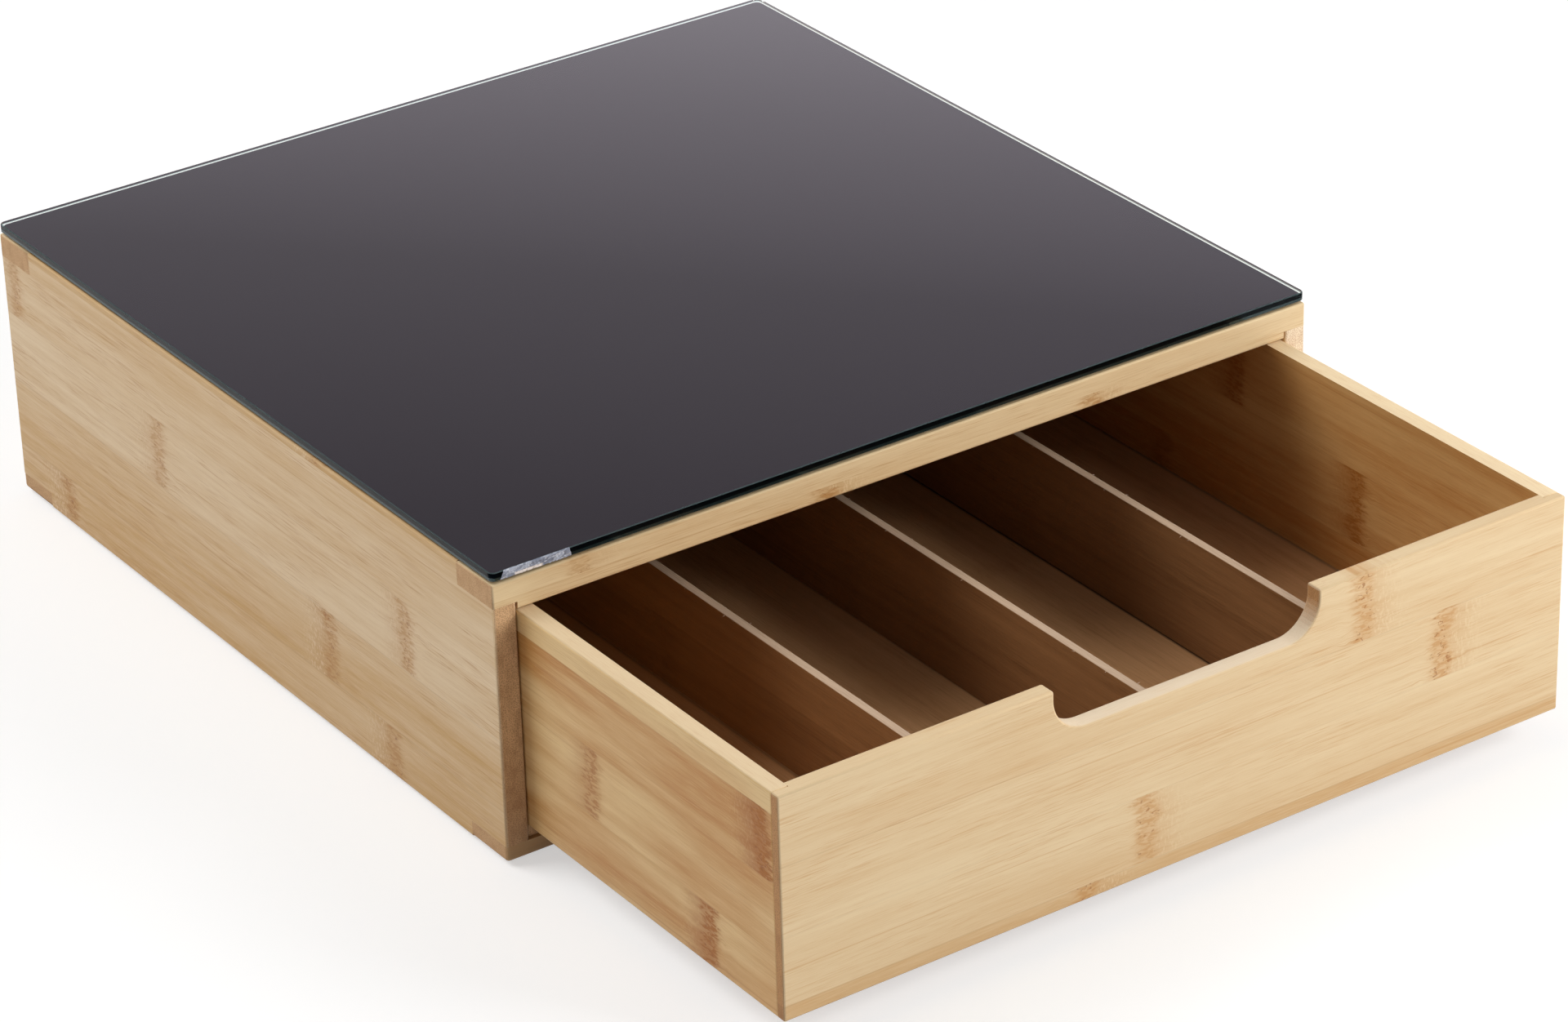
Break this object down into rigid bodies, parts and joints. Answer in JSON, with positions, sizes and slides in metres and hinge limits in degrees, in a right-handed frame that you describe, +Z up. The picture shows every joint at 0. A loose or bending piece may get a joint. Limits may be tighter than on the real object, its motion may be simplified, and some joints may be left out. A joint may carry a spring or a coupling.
{
  "type": "coffee capsule drawer",
  "caption": "Countertop bamboo cabinet with a black-backed glass top and a sliding drawer, divided into lanes for coffee capsules and opened by a cut-out in its front.",
  "frame": {"origin": "on the surface that the feet stand on, under the middle of the cabinet", "axes": "+Z up, -Y the way the drawer opens, +X to the right seen from the front"},
  "size_m": [0.31, 0.445, 0.1015],
  "materials": {
    "bamboo": "satin lacquered bamboo",
    "bamboo_pale": "satin lacquered bamboo, paler boards",
    "bamboo_ply": "satin bamboo sheet",
    "divider_board": "thin veneered board with raw pale edges",
    "dowel_wood": "plain turned wood",
    "steel": "plain steel",
    "glass": "polished float glass, slightly green",
    "black_backing": "black lacquer layer",
    "clear_pad": "clear soft pad",
    "clear_tape": "crinkled clear tape",
    "rubber": "matt rubber"
  },
  "bodies": {
    "cabinet": {"side_panel_left": "bamboo", "side_panel_right": "bamboo", "top_front_rail": "bamboo_pale", "top_back_rail": "bamboo_pale", "bottom_front_rail": "bamboo", "bottom_back_rail": "bamboo", "bottom_panel": "bamboo_ply", "back_panel": "bamboo_ply", "glass_top": "glass", "black_backing": "black_backing", "glass_pads": "clear_pad", "edge_tape": "clear_tape", "rubber_feet": "rubber", "carcass_dowels": "dowel_wood"},
    "drawer": {"drawer_front": "bamboo_pale", "drawer_side_left": "bamboo", "drawer_side_right": "bamboo", "drawer_back": "bamboo", "drawer_floor": "bamboo_ply", "divider_left": "divider_board", "divider_middle": "divider_board", "divider_right": "divider_board", "drawer_brads": "steel"}
  },
  "joints": [
    {"name": "drawer_slide", "type": "slide", "parent": "cabinet", "child": "drawer", "axis": [0, -1, 0], "range_m": [-0.135, 0.115]}
  ]
}
